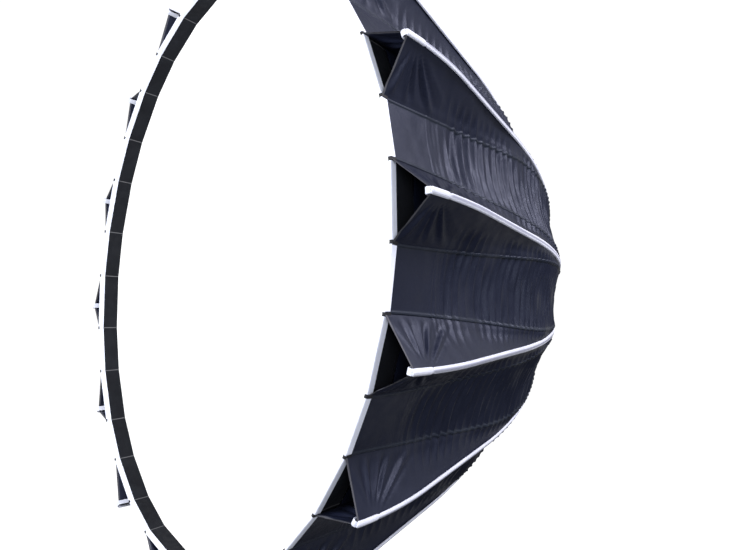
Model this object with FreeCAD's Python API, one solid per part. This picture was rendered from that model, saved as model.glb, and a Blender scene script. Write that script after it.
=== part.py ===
"""Sixteen-rib parabolic octabox: a folding fabric light modifier on a rotating speedring.

Row frame: origin on the light axis at the seat of the bayonet insert, +Y towards the lamp, so the
white front faces -Y, and +Z up. A rib's own plane is drawn as X (radial) and Y, with Z across it,
and is then turned about Y to each rib's place.
"""

import FreeCAD, Part
import math
import os

from FreeCAD import Vector

# --- Overall layout, millimetres and degrees ---
RIB_COUNT = 16
RIB_PITCH = 360.0 / RIB_COUNT
FIRST_RIB = RIB_PITCH / 2
RIM_SETBACK = 955.0  # front rim plane to the insert's seat

# --- Rib line: the outer line of the fabric over a rod, from its tip back to the hub ---
TIP_RADIUS = 843.0
TIP_DEPTH = 19.0  # behind the rim plane
TIP_HEADING = 15.9  # away from the light axis
RIB_SEGMENTS = [(225.0, 12.0), (269.0, 0.0), (275.0, 12.2), (415.0, 30.3), (40.0, 0.0)]  # length, turn
RIB_LENGTH = sum(length for length, turn in RIB_SEGMENTS)

# --- Fabric: a tent over each rod, and a flat valley between tents ---
FABRIC_THICKNESS = 1.5
TENT_DROP = 105.0  # rib line to tent seam, at the rim
TENT_DROP_END = 656.0  # depth at which a tent has sunk into the valleys
TENT_HALF_WIDTH = 79.0
TENT_WIDTH_END = 774.0
TENT_TAPER = 1.32
TENT_LEAST_HALF_WIDTH = 12.0
PANEL_GAP = 0.2  # from a panel's edge to the middle of its valley
STATIONS = 14

# --- Lining: a floor under each tent, and close behind the fabric in the valleys ---
LINING_START = 57.5  # along the rib line
LINING_END = 1150.0
LINING_INSET = 4.0
LINING_THICKNESS = 1.0
LINING_UNDER_ROD = 10.0  # least depth of the floor under a tent

# --- Lip: the band that stands back from the rim and holds the diffuser ---
LIP_RIM_RADIUS = 745.0
LIP_BACK_RADIUS = 721.5
LIP_DEPTH = 72.0
LIP_THICKNESS = 1.5
CORNER_ANGLE = 6.1  # from a rib to its tent's seams
LIP_SLOPE = (LIP_RIM_RADIUS - LIP_BACK_RADIUS) / LIP_DEPTH

# --- Diffuser, held to the lip by a loop strip ---
DIFFUSER_SETBACK = 47.0
DIFFUSER_THICKNESS = 1.5
STRIP_WIDTH = 21.0
STRIP_THICKNESS = 1.2
DIFFUSER_GAP = 0.5

# --- Rods and their hinged knuckles ---
ROD_RADIUS = 3.0
ROD_INSET = 9.0  # rod's centre inside the rib line
ROD_TIP_GAP = 3.0
ROD_ROOT_GAP = 14.0
PIVOT_RADIUS = 104.0
PIVOT_Y = -30.0
PIN_RADIUS = 2.0
PIN_LENGTH = 21.0
PIN_HOLE = 2.1
KNUCKLE_WIDTH = 12.0
EYE_RADIUS = 7.0
BARREL_RADIUS = 6.0
BARREL_LENGTH = 30.0
BARREL_FLOOR = 4.0  # solid end of the barrel, behind the rod
ROD_SOCKET = 3.05
WEB_REACH = 9.0  # of the web along the barrel
WEB_LIP = 1.0  # of the web over the barrel's and the eye's flanks
HEEL_REACH = 18.0
HEEL_WIDTH = 10.0
HEEL_THICKNESS = 8.0

# --- Speedring: a turned ring with sixteen clevises ---
RING_BORE = 72.1
GUIDE_INNER = 76.0
GUIDE_OUTER = 80.5
RING_OUTER = 99.0
RING_WALL = 4.0
RING_BACK_Y = -3.3
RING_PLATE = 5.7
LIP_FRONT_Y = -13.7
GUIDE_FRONT_Y = -34.3
WALL_FRONT_Y = -18.5
LUG_THICKNESS = 3.5
LUG_INNER = KNUCKLE_WIDTH / 2 + 0.3
LUG_RADIUS = 7.5
LUG_BACK_Y = -20.0
LUG_ROOT_Y = -15.0  # back end of the root that joins a lug to the wall
LUG_INSET = 0.5  # of a lug's root from the wall's inner face
LUG_HOLE = 2.05

# --- Cover ring that the heels rest against, and its screws ---
COVER_OUTER = 94.5
COVER_THICKNESS = 2.3
COVER_SCREWS = 8
COVER_SCREW_CIRCLE = 78.2

# --- Runner ring, pushed back by the heels as the ribs fold ---
RUNNER_INNER = 80.8
RUNNER_OUTER = 90.0
RUNNER_THICKNESS = 4.5
RUNNER_FRONT_Y = PIVOT_Y + HEEL_THICKNESS / 2 + 0.3
RUNNER_POSTS = 3
POST_START = 90.0  # place of the first post
POST_CIRCLE = 86.0
POST_RADIUS = 2.5
POST_HOLE = 3.0

# --- Bayonet insert, its retainer and screws ---
APERTURE_RADIUS = 46.0
SPIGOT_RADIUS = 49.0
SPIGOT_LENGTH = 9.0
TAB_RADIUS = 53.5
TAB_THICKNESS = 4.0
TAB_ANGLE = 28.0
TAB_COUNT = 3
SEAT_RADIUS = 76.0
SEAT_THICKNESS = 3.0
HUB_INNER = 62.0
HUB_RADIUS = 72.0
HUB_FRONT_Y = -14.0
RETAINER_RADIUS = 75.5
RETAINER_THICKNESS = 2.6
RETAINER_SCREWS = 4
RETAINER_SCREW_START = 45.0  # place of the first screw
RETAINER_SCREW_CIRCLE = 67.0

# --- Clamp knob that stops the ring turning on the insert ---
KNOB_Y = -6.8
KNOB_ANGLE = -90.0
CLAMP_RADIUS = 2.5
CLAMP_HOLE = 2.55
CLAMP_TIP = HUB_RADIUS + 0.8
BOSS_WIDTH = 14.0
BOSS_ROOT = 79.5
BOSS_REACH = 108.0
BOSS_FRONT_Y = -10.2
KNOB_START = 114.0
KNOB_LENGTH = 16.0
KNOB_RADIUS = 6.6
KNOB_FLUTES = 8
FLUTE_RADIUS = 1.2

# --- Small screws ---
SCREW_RADIUS = 1.2
SCREW_HOLE = 1.3
SCREW_LENGTH = 8.0
HEAD_RADIUS = 2.3
HEAD_HEIGHT = 1.2
SOCKET_RADIUS = 1.1
SOCKET_DEPTH = 0.84

AXIS = Vector(0, 1, 0)
ORIGIN = Vector(0, 0, 0)


def turned(shape, degrees):
    """A shape drawn at +X, turned about the light axis, anticlockwise seen from the front."""
    return shape.rotated(ORIGIN, AXIS, -degrees)


def rib_angle(index):
    """Place of rib 0 to 15 round the light axis."""
    return FIRST_RIB + RIB_PITCH * index


def around(shape, count, start=0.0):
    """Copies of a shape evenly round the light axis."""
    return [turned(shape, start + 360.0 * i / count) for i in range(count)]


def ring(inner, outer, y_low, y_high):
    """A flat ring on the light axis."""
    solid = Part.makeCylinder(outer, y_high - y_low, Vector(0, y_low, 0), AXIS)
    hole = Part.makeCylinder(inner, y_high - y_low, Vector(0, y_low, 0), AXIS)
    return solid.cut(hole)


def block(x_low, x_high, y_low, y_high, width):
    """A box in the rib's plane, centred across it."""
    corner = Vector(x_low, y_low, -width / 2)
    return Part.makeBox(x_high - x_low, y_high - y_low, width, corner)


def across(radius, length, x, y):
    """A cylinder across the rib's plane, centred on it."""
    return Part.makeCylinder(radius, length, Vector(x, y, -length / 2), Vector(0, 0, 1))


def rib_point(distance, inset):
    """Radius, depth behind the rim and heading at a distance along the rib line, moved inwards."""
    radius = TIP_RADIUS
    depth = TIP_DEPTH
    heading = math.radians(TIP_HEADING)
    remaining = distance
    for length, turn in RIB_SEGMENTS:
        step = min(remaining, length)
        angle = math.radians(turn) * step / length
        if turn:
            bend = length / math.radians(turn)
            radius += bend * (math.cos(heading + angle) - math.cos(heading))
            depth += bend * (math.sin(heading + angle) - math.sin(heading))
        else:
            radius -= step * math.sin(heading)
            depth += step * math.cos(heading)
        heading += angle
        remaining -= step
        if remaining <= 0:
            break
    return radius - inset * math.cos(heading), depth - inset * math.sin(heading), heading


def rib_vector(distance, inset):
    """The same point as a vector in the rib's plane."""
    radius, depth, heading = rib_point(distance, inset)
    return Vector(radius, depth - RIM_SETBACK, 0)


def tent_drop(depth):
    """How far a tent's seams lie inside its rib line."""
    share = min(max(depth / TENT_DROP_END, 0.0), 1.0)
    return TENT_DROP * (1 + math.cos(math.pi * share)) / 2


def tent_half_width(depth):
    """Half the width between a tent's two seams."""
    share = min(max(depth / TENT_WIDTH_END, 0.0), 1.0)
    return math.hypot(TENT_HALF_WIDTH * (1 - share**TENT_TAPER), TENT_LEAST_HALF_WIDTH)


def section(distance, inset):
    """Points of one panel's cross-section: valley middle, seam, rib, seam, valley middle."""
    radius, depth, heading = rib_point(distance, inset)
    y = depth - RIM_SETBACK
    low = radius - tent_drop(depth)
    half = tent_half_width(depth)
    middle = math.radians(RIB_PITCH / 2)
    reach = low * math.cos(middle) + half * math.sin(middle)
    edge_x = reach * math.cos(middle) + PANEL_GAP * math.sin(middle)
    edge_z = reach * math.sin(middle) - PANEL_GAP * math.cos(middle)
    return [
        Vector(edge_x, y, -edge_z),
        Vector(low, y, -half),
        Vector(radius, y, 0),
        Vector(low, y, half),
        Vector(edge_x, y, edge_z),
    ]


def long_edges(inset):
    """The five long edges of a panel's outer or inner face. Only the rib's edge stops at the tip."""
    front = -TIP_DEPTH / math.cos(math.radians(TIP_HEADING))
    starts = [front, front, 0.0, front, front]
    edges = []
    for column, start in enumerate(starts):
        points = []
        for i in range(STATIONS):
            distance = start + (RIB_LENGTH - start) * i / (STATIONS - 1)
            points.append(section(distance, inset)[column])
        curve = Part.BSplineCurve()
        curve.interpolate(points)
        edges.append(curve.toShape())
    return edges


def end_points(edges, last):
    """The edges' first or last points."""
    return [edge.valueAt(edge.LastParameter if last else edge.FirstParameter) for edge in edges]


def lining_edges(inset):
    """The four long edges of a lining's outer or inner face: valley middle, seam, seam, valley middle."""
    columns = [[], [], [], []]
    for i in range(STATIONS):
        distance = LINING_START + (LINING_END - LINING_START) * i / (STATIONS - 1)
        radius, depth, heading = rib_point(distance, inset)
        first, near, ridge, far, last = section(distance, inset)
        near.x = min(near.x, radius - LINING_UNDER_ROD / math.cos(heading))
        far.x = near.x
        for column, point in zip(columns, (first, near, far, last)):
            column.append(point)
    edges = []
    for points in columns:
        curve = Part.BSplineCurve()
        curve.interpolate(points)
        edges.append(curve.toShape())
    return edges


def thin_shell(outer, inner):
    """The closed solid between the long edges of its outer and inner faces."""
    faces = []
    for edges in (outer, inner):
        faces += [Part.makeRuledSurface(a, b) for a, b in zip(edges, edges[1:])]
    faces += [Part.makeRuledSurface(outer[i], inner[i]) for i in (0, -1)]
    for last in (False, True):
        top = end_points(outer, last)
        bottom = end_points(inner, last)
        for i in range(len(top) - 1):
            above = Part.makeLine(top[i], top[i + 1])
            below = Part.makeLine(bottom[i], bottom[i + 1])
            faces.append(Part.makeRuledSurface(above, below))
    return closed_solid(faces)


def canopy_sector():
    """One rib's share of the canopy."""
    return thin_shell(long_edges(0.0), long_edges(FABRIC_THICKNESS))


def lining_sector():
    """One rib's share of the lining."""
    return thin_shell(lining_edges(LINING_INSET), lining_edges(LINING_INSET + LINING_THICKNESS))


def closed_solid(faces):
    """Faces sewn into one solid of positive volume."""
    shell = Part.makeShell(faces)
    shell.sewShape()
    solid = Part.makeSolid(Part.Shell(shell.Faces))
    if solid.Volume < 0:
        solid.reverse()
    return solid


def corner_row(corner_radius, depth):
    """Points of the many-sided rim within one panel: valley middle, seam, seam, valley middle."""
    corner = math.radians(CORNER_ANGLE)
    middle = math.radians(RIB_PITCH / 2)
    x = corner_radius * math.cos(corner)
    z = corner_radius * math.sin(corner)
    reach = corner_radius * math.cos(middle - corner)
    edge_x = reach * math.cos(middle) + PANEL_GAP * math.sin(middle)
    edge_z = reach * math.sin(middle) - PANEL_GAP * math.cos(middle)
    y = depth - RIM_SETBACK
    return [Vector(edge_x, y, -edge_z), Vector(x, y, -z), Vector(x, y, z), Vector(edge_x, y, edge_z)]


def lip_sector():
    """One panel's share of the lip: a straight-sided band sewn in at the rim."""
    rows = [
        corner_row(LIP_RIM_RADIUS, 0.0),
        corner_row(LIP_BACK_RADIUS, LIP_DEPTH),
        corner_row(LIP_BACK_RADIUS - LIP_THICKNESS, LIP_DEPTH),
        corner_row(LIP_RIM_RADIUS - LIP_THICKNESS, 0.0),
    ]
    faces = []
    for a, b in zip(rows, rows[1:] + rows[:1]):
        for i in range(len(a) - 1):
            faces.append(Part.Face(Part.makePolygon([a[i], a[i + 1], b[i + 1], b[i], a[i]])))
    for i in (0, -1):
        faces.append(Part.Face(Part.makePolygon([row[i] for row in rows + rows[:1]])))
    return closed_solid(faces)


def rim_outline(corner_radius, depth):
    """The closed 32-sided outline of the opening, as a wire."""
    points = []
    for index in range(RIB_COUNT):
        for side in (-CORNER_ANGLE, CORNER_ANGLE):
            angle = math.radians(rib_angle(index) + side)
            x = corner_radius * math.cos(angle)
            z = corner_radius * math.sin(angle)
            points.append(Vector(x, depth - RIM_SETBACK, z))
    return Part.makePolygon(points + points[:1])


def lip_inside(depth):
    """Corner radius that clears the lip's inner face at a depth."""
    return LIP_RIM_RADIUS - LIP_THICKNESS - LIP_SLOPE * depth - DIFFUSER_GAP


def front_diffuser():
    """The white front: a flat sheet that fills the lip."""
    back = DIFFUSER_SETBACK + DIFFUSER_THICKNESS
    outline = Part.Face(rim_outline(lip_inside(back), DIFFUSER_SETBACK))
    return outline.extrude(Vector(0, DIFFUSER_THICKNESS, 0))


def loop_strip():
    """The strip behind the diffuser's edge that sticks to the lip."""
    front = DIFFUSER_SETBACK + DIFFUSER_THICKNESS
    back = front + STRIP_WIDTH
    slices = []
    for wall in (0.0, STRIP_THICKNESS):
        wires = [rim_outline(lip_inside(depth) - wall, depth) for depth in (front, back)]
        slices.append(Part.makeLoft(wires, True, True))
    return slices[0].cut(slices[1])


def rod():
    """A glass-fibre rod along the rib line, bent by the fabric's pull."""
    start = ROD_TIP_GAP
    end = RIB_LENGTH - ROD_ROOT_GAP
    edges = []
    passed = 0.0
    for length, turn in RIB_SEGMENTS:
        low = max(passed, start)
        high = min(passed + length, end)
        first = rib_vector(low, ROD_INSET)
        last = rib_vector(high, ROD_INSET)
        if turn:
            edges.append(Part.Arc(first, rib_vector((low + high) / 2, ROD_INSET), last).toShape())
        else:
            edges.append(Part.makeLine(first, last))
        passed += length
    path = Part.Wire(edges)
    circle = Part.makeCircle(ROD_RADIUS, rib_vector(start, ROD_INSET), edges[0].tangentAt(0))
    return path.makePipeShell([Part.Wire(circle)], True, True)


def knuckle():
    """The hinged socket at a rod's root, with the heel that works the runner."""
    root = rib_vector(RIB_LENGTH - ROD_ROOT_GAP, ROD_INSET)
    outward = rib_vector(RIB_LENGTH - ROD_ROOT_GAP - 1, ROD_INSET) - root
    outward.normalize()
    floor = root - outward * BARREL_FLOOR
    barrel = Part.makeCylinder(BARREL_RADIUS, BARREL_LENGTH, floor, outward)
    eye = across(EYE_RADIUS, KNUCKLE_WIDTH, PIVOT_RADIUS, PIVOT_Y)
    heel_y = PIVOT_Y - HEEL_THICKNESS / 2
    heel = block(PIVOT_RADIUS - HEEL_REACH, PIVOT_RADIUS, heel_y, heel_y + HEEL_THICKNESS, HEEL_WIDTH)
    shoulder = floor + outward * WEB_REACH
    web_points = [
        Vector(PIVOT_RADIUS, PIVOT_Y - EYE_RADIUS, 0),
        Vector(shoulder.x + WEB_REACH, shoulder.y - BARREL_RADIUS + WEB_LIP, 0),
        Vector(shoulder.x, shoulder.y, 0),
        Vector(PIVOT_RADIUS, PIVOT_Y + EYE_RADIUS - WEB_LIP, 0),
    ]
    web_face = Part.Face(Part.makePolygon(web_points + web_points[:1]))
    web = web_face.extrude(Vector(0, 0, HEEL_WIDTH)).translated(Vector(0, 0, -HEEL_WIDTH / 2))
    body = eye.fuse([barrel, heel, web])
    body = body.cut(across(PIN_HOLE, KNUCKLE_WIDTH * 2, PIVOT_RADIUS, PIVOT_Y))
    body = body.cut(Part.makeCylinder(ROD_SOCKET, BARREL_LENGTH, root, outward))
    return body.removeSplitter()


def lug_pair():
    """Two ears that carry one knuckle's pin."""
    ears = []
    for side in (-1, 1):
        middle = side * (LUG_INNER + LUG_THICKNESS / 2)
        ear = across(LUG_RADIUS, LUG_THICKNESS, PIVOT_RADIUS, PIVOT_Y)
        x_low = RING_OUTER - RING_WALL + LUG_INSET
        plate = block(x_low, PIVOT_RADIUS + LUG_RADIUS, PIVOT_Y, LUG_BACK_Y, LUG_THICKNESS)
        root = block(x_low, RING_OUTER, PIVOT_Y, LUG_ROOT_Y, LUG_THICKNESS)
        ear = ear.fuse([plate, root])
        ear = ear.cut(across(LUG_HOLE, LUG_THICKNESS * 2, PIVOT_RADIUS, PIVOT_Y))
        ears.append(ear.translated(Vector(0, 0, middle)))
    return ears


def speedring_body():
    """The turned ring: bore lip, guide wall, back plate, outer wall and clevises."""
    lip = ring(RING_BORE, GUIDE_OUTER, LIP_FRONT_Y, RING_BACK_Y)
    guide = ring(GUIDE_INNER, GUIDE_OUTER, GUIDE_FRONT_Y, LIP_FRONT_Y)
    plate = ring(GUIDE_INNER, RING_OUTER, RING_BACK_Y - RING_PLATE, RING_BACK_Y)
    wall = ring(RING_OUTER - RING_WALL, RING_OUTER, WALL_FRONT_Y, RING_BACK_Y)
    boss = turned(block(BOSS_ROOT, BOSS_REACH, BOSS_FRONT_Y, RING_BACK_Y, BOSS_WIDTH), KNOB_ANGLE)
    ears = []
    for index in range(RIB_COUNT):
        ears += [turned(ear, rib_angle(index)) for ear in lug_pair()]
    body = lip.fuse([guide, plate, wall, boss] + ears)
    plate_front = Vector(POST_CIRCLE, RING_BACK_Y - RING_PLATE, 0)
    post_hole = Part.makeCylinder(POST_HOLE, RING_PLATE, plate_front, AXIS)
    holes = around(post_hole, RUNNER_POSTS, POST_START)
    drill = Part.makeCylinder(SCREW_HOLE, SCREW_LENGTH, Vector(COVER_SCREW_CIRCLE, GUIDE_FRONT_Y, 0), AXIS)
    holes += around(drill, COVER_SCREWS)
    clamp_hole = Part.makeCylinder(CLAMP_HOLE, BOSS_REACH, Vector(0, KNOB_Y, 0), Vector(1, 0, 0))
    holes.append(turned(clamp_hole, KNOB_ANGLE))
    return body.cut(holes).removeSplitter()


def cover_ring():
    """The front ring that closes the runner's groove and stops the heels."""
    low = GUIDE_FRONT_Y - COVER_THICKNESS
    plate = ring(GUIDE_INNER, COVER_OUTER, low, GUIDE_FRONT_Y)
    drill = Part.makeCylinder(SCREW_HOLE, COVER_THICKNESS, Vector(COVER_SCREW_CIRCLE, low, 0), AXIS)
    return plate.cut(around(drill, COVER_SCREWS))


def screw(circle, seat_y, length):
    """A pan-head socket screw driven towards +Y, its head in front of its seat."""
    shank = Part.makeCylinder(SCREW_RADIUS, length, Vector(circle, seat_y, 0), AXIS)
    head = Part.makeCylinder(HEAD_RADIUS, HEAD_HEIGHT, Vector(circle, seat_y - HEAD_HEIGHT, 0), AXIS)
    socket_y = seat_y - HEAD_HEIGHT
    socket = Part.makeCylinder(SOCKET_RADIUS, SOCKET_DEPTH, Vector(circle, socket_y, 0), AXIS)
    return head.fuse(shank).cut(socket)


def hinge_pins():
    """One plain pin through each clevis."""
    pin = across(PIN_RADIUS, PIN_LENGTH, PIVOT_RADIUS, PIVOT_Y)
    return [turned(pin, rib_angle(index)) for index in range(RIB_COUNT)]


def runner_ring():
    """The sliding ring behind the heels, with posts that show through the back plate."""
    back = RUNNER_FRONT_Y + RUNNER_THICKNESS
    body = ring(RUNNER_INNER, RUNNER_OUTER, RUNNER_FRONT_Y, back)
    post = Part.makeCylinder(POST_RADIUS, RING_BACK_Y - back, Vector(POST_CIRCLE, back, 0), AXIS)
    return body.fuse(around(post, RUNNER_POSTS, POST_START)).removeSplitter()


def bayonet_insert():
    """The insert that locks into a lamp: spigot with three tabs, seat flange and hub."""
    seat = ring(APERTURE_RADIUS, SEAT_RADIUS, -SEAT_THICKNESS, 0.0)
    tube = ring(APERTURE_RADIUS, SPIGOT_RADIUS, HUB_FRONT_Y, SPIGOT_LENGTH)
    hub = ring(HUB_INNER, HUB_RADIUS, HUB_FRONT_Y, -SEAT_THICKNESS)
    tabs = []
    for index in range(TAB_COUNT):
        low = Vector(0, SPIGOT_LENGTH - TAB_THICKNESS, 0)
        wedge = Part.makeCylinder(TAB_RADIUS, TAB_THICKNESS, low, AXIS, TAB_ANGLE)
        tabs.append(turned(wedge, 360.0 * index / TAB_COUNT))
    hollow = Part.makeCylinder(APERTURE_RADIUS, 3 * SPIGOT_LENGTH, Vector(0, -SPIGOT_LENGTH, 0), AXIS)
    body = seat.fuse([tube, hub] + tabs).cut(hollow)
    deep = Vector(RETAINER_SCREW_CIRCLE, HUB_FRONT_Y, 0)
    drill = Part.makeCylinder(SCREW_HOLE, SCREW_LENGTH, deep, AXIS)
    return body.cut(around(drill, RETAINER_SCREWS, RETAINER_SCREW_START)).removeSplitter()


def retainer_ring():
    """The ring that keeps the speedring on the insert's hub."""
    low = HUB_FRONT_Y - RETAINER_THICKNESS
    plate = ring(HUB_INNER, RETAINER_RADIUS, low, HUB_FRONT_Y)
    drill = Part.makeCylinder(SCREW_HOLE, RETAINER_THICKNESS, Vector(RETAINER_SCREW_CIRCLE, low, 0), AXIS)
    return plate.cut(around(drill, RETAINER_SCREWS, RETAINER_SCREW_START))


def clamp_screw():
    """The knob's threaded stem, drawn plain, from the hub to halfway into the knob."""
    reach = KNOB_START + KNOB_LENGTH / 2 - CLAMP_TIP
    stem = Part.makeCylinder(CLAMP_RADIUS, reach, Vector(CLAMP_TIP, KNOB_Y, 0), Vector(1, 0, 0))
    return turned(stem, KNOB_ANGLE)


def clamp_knob():
    """A fluted hand knob."""
    start = Vector(KNOB_START, KNOB_Y, 0)
    out = Vector(1, 0, 0)
    body = Part.makeCylinder(KNOB_RADIUS, KNOB_LENGTH, start, out)
    flutes = []
    for index in range(KNOB_FLUTES):
        angle = 2 * math.pi * index / KNOB_FLUTES
        offset = Vector(0, KNOB_RADIUS * math.cos(angle), KNOB_RADIUS * math.sin(angle))
        flutes.append(Part.makeCylinder(FLUTE_RADIUS, KNOB_LENGTH, start + offset, out))
    body = body.cut(flutes)
    body = body.cut(Part.makeCylinder(CLAMP_RADIUS, KNOB_LENGTH / 2, start, out))
    return turned(body, KNOB_ANGLE)


def write(name, shapes):
    """One node, as one STEP file, after a look at each of its solids."""
    for shape in shapes:
        for solid in shape.Solids:
            if not solid.isValid() or solid.Volume <= 0:
                raise ValueError(name + " has a bad solid")
    whole = shapes[0] if len(shapes) == 1 else Part.makeCompound(shapes)
    whole.exportStep("parts/" + name + ".step")
    print(name, len(whole.Solids), round(whole.Volume))


def main():
    os.makedirs("parts", exist_ok=True)
    write("bayonet_insert", [bayonet_insert()])
    write("retainer_ring", [retainer_ring()])
    retainer_screw = screw(RETAINER_SCREW_CIRCLE, HUB_FRONT_Y - RETAINER_THICKNESS, SCREW_LENGTH)
    write("retainer_screws", around(retainer_screw, RETAINER_SCREWS, RETAINER_SCREW_START))
    write("speedring_body", [speedring_body()])
    write("cover_ring", [cover_ring()])
    cover_screw = screw(COVER_SCREW_CIRCLE, GUIDE_FRONT_Y - COVER_THICKNESS, SCREW_LENGTH)
    write("cover_screws", around(cover_screw, COVER_SCREWS))
    write("hinge_pins", hinge_pins())
    write("runner_ring", [runner_ring()])
    write("clamp_screw", [clamp_screw()])
    write("clamp_knob", [clamp_knob()])
    write("front_diffuser", [front_diffuser()])
    write("loop_strip", [loop_strip()])
    panel = [canopy_sector(), lining_sector(), lip_sector()]
    bent_rod = rod()
    hinged_knuckle = knuckle()
    for index in range(RIB_COUNT):
        number = f"{index + 1:02d}"
        angle = rib_angle(index)
        write("fabric_panel_" + number, [turned(shape, angle) for shape in panel])
        write("rod_" + number, [turned(bent_rod, angle)])
        write("knuckle_" + number, [turned(hinged_knuckle, angle)])


main()
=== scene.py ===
"""Looks of the sixteen-rib octabox: cloth, tape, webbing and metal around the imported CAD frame.

Metres, in the row frame: +Y is the light axis, towards the lamp, and +Z is up. Each rib has a plane of
its own, where x is radial, y is along the light axis and z is across the rib.
"""

import math

import bmesh
import bpy
import numpy as np
from mathutils import Matrix, Vector


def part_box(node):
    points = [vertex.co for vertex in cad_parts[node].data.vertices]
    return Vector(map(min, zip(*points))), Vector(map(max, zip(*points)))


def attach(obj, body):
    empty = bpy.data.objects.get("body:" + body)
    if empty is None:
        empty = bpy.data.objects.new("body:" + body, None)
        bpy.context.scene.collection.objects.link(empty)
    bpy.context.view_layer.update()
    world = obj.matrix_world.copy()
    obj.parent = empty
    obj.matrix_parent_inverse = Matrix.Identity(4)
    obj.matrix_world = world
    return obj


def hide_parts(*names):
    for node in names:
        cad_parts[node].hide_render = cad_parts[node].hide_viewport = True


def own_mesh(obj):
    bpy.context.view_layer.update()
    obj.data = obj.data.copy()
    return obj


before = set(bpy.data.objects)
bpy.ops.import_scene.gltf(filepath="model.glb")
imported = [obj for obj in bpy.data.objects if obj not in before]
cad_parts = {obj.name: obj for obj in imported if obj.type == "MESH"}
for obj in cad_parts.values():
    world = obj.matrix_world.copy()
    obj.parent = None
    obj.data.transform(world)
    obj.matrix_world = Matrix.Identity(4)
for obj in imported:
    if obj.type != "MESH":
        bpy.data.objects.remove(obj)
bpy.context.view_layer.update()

MM = 0.001

# --- The canopy's shape, as in the CAD source ---
RIBS = 16
PITCH = 2 * math.pi / RIBS
MID_VALLEY = PITCH / 2
RIM_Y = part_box("fabric_panel_01")[0].y
TIP_RADIUS = 0.843
TIP_DEPTH = 0.019
TIP_HEADING = math.radians(15.9)
RIB_SEGMENTS = [(0.225, 12.0), (0.269, 0.0), (0.275, 12.2), (0.415, 30.3), (0.040, 0.0)]  # length, turn
TENT_DROP = 0.105
TENT_DROP_END = 0.656
TENT_HALF_WIDTH = 0.079
TENT_WIDTH_END = 0.774
TENT_TAPER = 1.32
TENT_LEAST_HALF_WIDTH = 0.012
RIM_START = -TIP_DEPTH / math.cos(TIP_HEADING)
LIP_RIM_RADIUS = 0.745
LIP_BACK_RADIUS = 0.7215
LIP_DEPTH = 0.072
LIP_SLOPE = (LIP_RIM_RADIUS - LIP_BACK_RADIUS) / LIP_DEPTH
LIP_THICKNESS = 0.0015
CORNER_ANGLE = math.radians(6.1)
DIFFUSER_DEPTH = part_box("front_diffuser")[0].y - RIM_Y
DIFFUSER_THICKNESS = 0.0015
STRIP_DEPTHS = (DIFFUSER_DEPTH + DIFFUSER_THICKNESS, DIFFUSER_DEPTH + 0.0225)
STRIP_THICKNESS = 0.0012
DIFFUSER_GAP = 0.0005
ROD_INSET = 0.009

# --- Bands the canopy is cut into: name, start and end along the rib, and the width that would be kept as the ribs close, which is not applied here ---
CANOPY_BANDS = [
    ("front", 0.0, 0.118, 0.215),
    ("fore", 0.118, 0.36, 0.305),
    ("mid", 0.36, 0.62, 0.445),
    ("aft", 0.62, 0.90, 0.60),
    ("rear", 0.90, None, 0.80),
]
LINING_BANDS = [("front", 0.0, 0.30, 0.27), ("mid", 0.30, 0.70, 0.46), ("rear", 0.70, None, 0.72)]
RIM_KEEP = 0.17

RNG = np.random.default_rng(16)


def rib_angle(index):
    """Place of rib 0 to 15 round the light axis."""
    return PITCH / 2 + PITCH * index


# --- The rib line, integrated from its bends ---
KNOTS = np.cumsum([0.0] + [length for length, turn in RIB_SEGMENTS])
HEADINGS = TIP_HEADING + np.radians(np.cumsum([0.0] + [turn for length, turn in RIB_SEGMENTS]))
RIB_LENGTH = KNOTS[-1]
STEPS = np.linspace(-0.04, RIB_LENGTH + 0.02, 8000)
FIRST_BEND = (HEADINGS[1] - HEADINGS[0]) / KNOTS[1]
STEP_HEADINGS = np.where(STEPS < 0, TIP_HEADING + FIRST_BEND * STEPS, np.interp(STEPS, KNOTS, HEADINGS))


def running_sum(rates, at_tip):
    """Integral of the rates along the rib line, with the value at_tip at the tip."""
    total = np.concatenate([[0.0], np.cumsum((rates[1:] + rates[:-1]) / 2 * np.diff(STEPS))])
    return total - np.interp(0.0, STEPS, total) + at_tip


STEP_RADII = running_sum(-np.sin(STEP_HEADINGS), TIP_RADIUS)
STEP_DEPTHS = running_sum(np.cos(STEP_HEADINGS), TIP_DEPTH)


def rib_at(s):
    """Radius, depth behind the rim and heading at distances s along the rib line."""
    return [np.interp(s, STEPS, values) for values in (STEP_RADII, STEP_DEPTHS, STEP_HEADINGS)]


def smooth(low, high, x):
    """0 below low, 1 above high, and a smooth step between."""
    t = np.clip((x - low) / (high - low), 0, 1)
    return t * t * (3 - 2 * t)


def tent_drop(depth):
    return TENT_DROP * (1 + np.cos(np.pi * np.clip(depth / TENT_DROP_END, 0, 1))) / 2


def tent_half_width(depth):
    share = np.clip(depth / TENT_WIDTH_END, 0, 1)
    return np.hypot(TENT_HALF_WIDTH * (1 - share**TENT_TAPER), TENT_LEAST_HALF_WIDTH)


def placed(points, index):
    """Points of a rib's plane turned to the rib's place."""
    a = rib_angle(index)
    x, y, z = points[..., 0], points[..., 1], points[..., 2]
    return np.stack([x * math.cos(a) - z * math.sin(a), y, x * math.sin(a) + z * math.cos(a)], axis=-1)


# --- Uneven folds of the cloth ---
class Waves:
    """Smooth noise over the canopy: waves that close round the axis and run free along the ribs."""

    def __init__(self, count, most_round, most_along):
        self.round = RNG.integers(-most_round, most_round + 1, count)
        self.along = RNG.uniform(0.3, 1.0, count) * most_along
        self.phase = RNG.uniform(0, 2 * math.pi, count)

    def at(self, angle, s):
        total = 0.0
        for turns, rate, phase in zip(self.round, self.along, self.phase):
            total = total + np.sin(turns * angle + rate * s + phase)
        return total / math.sqrt(len(self.round))


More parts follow.
